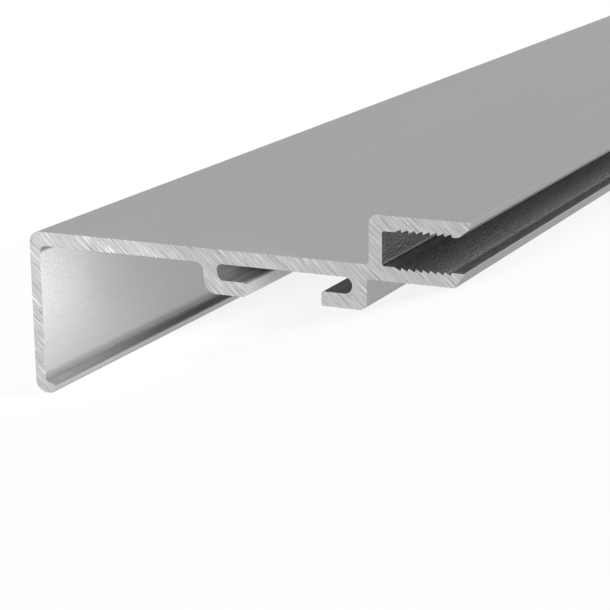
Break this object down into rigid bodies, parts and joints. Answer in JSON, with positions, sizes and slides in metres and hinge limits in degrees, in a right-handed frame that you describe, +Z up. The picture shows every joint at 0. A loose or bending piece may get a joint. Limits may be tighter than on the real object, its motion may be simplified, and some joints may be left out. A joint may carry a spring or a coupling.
{
  "type": "glazing bead",
  "caption": "Extruded aluminium glazing bead with a face plate, a hanging leg, a clip slot and a toothed gasket channel, cut to length.",
  "frame": {"origin": "on the floor, under the middle of the bead's box as it lies", "axes": "+Y along the bead; +Z up, with the face plate uppermost and the leg's rounded foot on the floor; +X from the leg towards the gasket channel"},
  "size_m": [0.0652, 1, 0.0205],
  "materials": {
    "mill_aluminium": "mill-finish extruded aluminium, satin, with faint lines along the length; the ends are saw-cut"
  },
  "bodies": {
    "root": {"glazing_bead": "mill_aluminium"}
  },
  "joints": []
}
